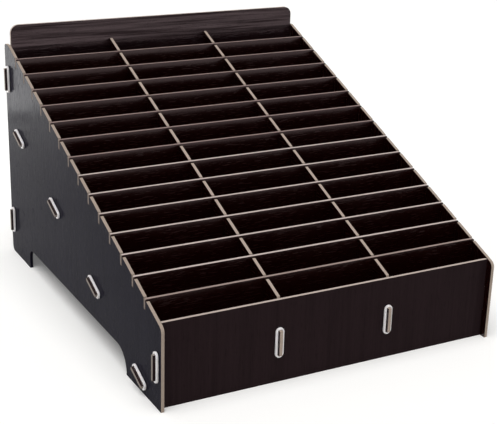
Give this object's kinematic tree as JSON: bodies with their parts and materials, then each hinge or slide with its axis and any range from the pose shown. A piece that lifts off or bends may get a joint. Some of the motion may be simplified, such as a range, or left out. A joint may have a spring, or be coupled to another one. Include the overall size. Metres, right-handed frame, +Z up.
{
  "type": "phone storage box",
  "caption": "Sloping desktop rack of thin laminated boards, with narrow upright pockets in rows, lift-out cross dividers, tenon joints locked by oval collars and arched sides",
  "frame": {"origin": "centre of the bounding box's base, on the surface that the box stands on", "axes": "X across the box, +X to the right as seen from the front; +Y from the low front to the high back; +Z up"},
  "size_m": [0.2834, 0.3258, 0.2039],
  "materials": {
    "side_laminate": "satin dark wood-grain laminate on fibreboard",
    "back_laminate": "satin dark wood-grain laminate on fibreboard",
    "front_laminate": "satin dark wood-grain laminate on fibreboard",
    "floor_laminate": "satin dark wood-grain laminate on fibreboard",
    "long_divider_laminate": "satin dark wood-grain laminate on fibreboard",
    "cross_divider_laminate": "satin dark wood-grain laminate on fibreboard",
    "collar_plastic": "semi-matt white moulded plastic"
  },
  "bodies": {
    "box": {"side_panel_left": "side_laminate", "side_panel_right": "side_laminate", "back_panel": "back_laminate", "front_panel": "front_laminate", "inclined_floor": "floor_laminate", "long_divider_1": "long_divider_laminate", "long_divider_2": "long_divider_laminate", "collar_left_front": "collar_plastic", "collar_left_floor_1": "collar_plastic", "collar_left_floor_2": "collar_plastic", "collar_left_floor_3": "collar_plastic", "collar_left_floor_4": "collar_plastic", "collar_left_rear_lower": "collar_plastic", "collar_left_rear_upper": "collar_plastic", "collar_right_front": "collar_plastic", "collar_right_floor_1": "collar_plastic", "collar_right_floor_2": "collar_plastic", "collar_right_floor_3": "collar_plastic", "collar_right_floor_4": "collar_plastic", "collar_right_rear_lower": "collar_plastic", "collar_right_rear_upper": "collar_plastic", "collar_front_1": "collar_plastic", "collar_front_2": "collar_plastic", "collar_back_1": "collar_plastic", "collar_back_2": "collar_plastic"},
    "divider_01": {"cross_divider_01": "cross_divider_laminate"},
    "divider_02": {"cross_divider_02": "cross_divider_laminate"},
    "divider_03": {"cross_divider_03": "cross_divider_laminate"},
    "divider_04": {"cross_divider_04": "cross_divider_laminate"},
    "divider_05": {"cross_divider_05": "cross_divider_laminate"},
    "divider_06": {"cross_divider_06": "cross_divider_laminate"},
    "divider_07": {"cross_divider_07": "cross_divider_laminate"},
    "divider_08": {"cross_divider_08": "cross_divider_laminate"},
    "divider_09": {"cross_divider_09": "cross_divider_laminate"},
    "divider_10": {"cross_divider_10": "cross_divider_laminate"},
    "divider_11": {"cross_divider_11": "cross_divider_laminate"},
    "divider_12": {"cross_divider_12": "cross_divider_laminate"},
    "divider_13": {"cross_divider_13": "cross_divider_laminate"},
    "divider_14": {"cross_divider_14": "cross_divider_laminate"}
  },
  "joints": [
    {"name": "divider_01_lift", "type": "slide", "parent": "box", "child": "divider_01", "axis": [0, 0, 1], "range_m": [0, 0.07]},
    {"name": "divider_02_lift", "type": "slide", "parent": "box", "child": "divider_02", "axis": [0, 0, 1], "range_m": [0, 0.07]},
    {"name": "divider_03_lift", "type": "slide", "parent": "box", "child": "divider_03", "axis": [0, 0, 1], "range_m": [0, 0.07]},
    {"name": "divider_04_lift", "type": "slide", "parent": "box", "child": "divider_04", "axis": [0, 0, 1], "range_m": [0, 0.07]},
    {"name": "divider_05_lift", "type": "slide", "parent": "box", "child": "divider_05", "axis": [0, 0, 1], "range_m": [0, 0.07]},
    {"name": "divider_06_lift", "type": "slide", "parent": "box", "child": "divider_06", "axis": [0, 0, 1], "range_m": [0, 0.07]},
    {"name": "divider_07_lift", "type": "slide", "parent": "box", "child": "divider_07", "axis": [0, 0, 1], "range_m": [0, 0.07]},
    {"name": "divider_08_lift", "type": "slide", "parent": "box", "child": "divider_08", "axis": [0, 0, 1], "range_m": [0, 0.07]},
    {"name": "divider_09_lift", "type": "slide", "parent": "box", "child": "divider_09", "axis": [0, 0, 1], "range_m": [0, 0.07]},
    {"name": "divider_10_lift", "type": "slide", "parent": "box", "child": "divider_10", "axis": [0, 0, 1], "range_m": [0, 0.07]},
    {"name": "divider_11_lift", "type": "slide", "parent": "box", "child": "divider_11", "axis": [0, 0, 1], "range_m": [0, 0.07]},
    {"name": "divider_12_lift", "type": "slide", "parent": "box", "child": "divider_12", "axis": [0, 0, 1], "range_m": [0, 0.07]},
    {"name": "divider_13_lift", "type": "slide", "parent": "box", "child": "divider_13", "axis": [0, 0, 1], "range_m": [0, 0.07]},
    {"name": "divider_14_lift", "type": "slide", "parent": "box", "child": "divider_14", "axis": [0, 0, 1], "range_m": [0, 0.07]}
  ]
}
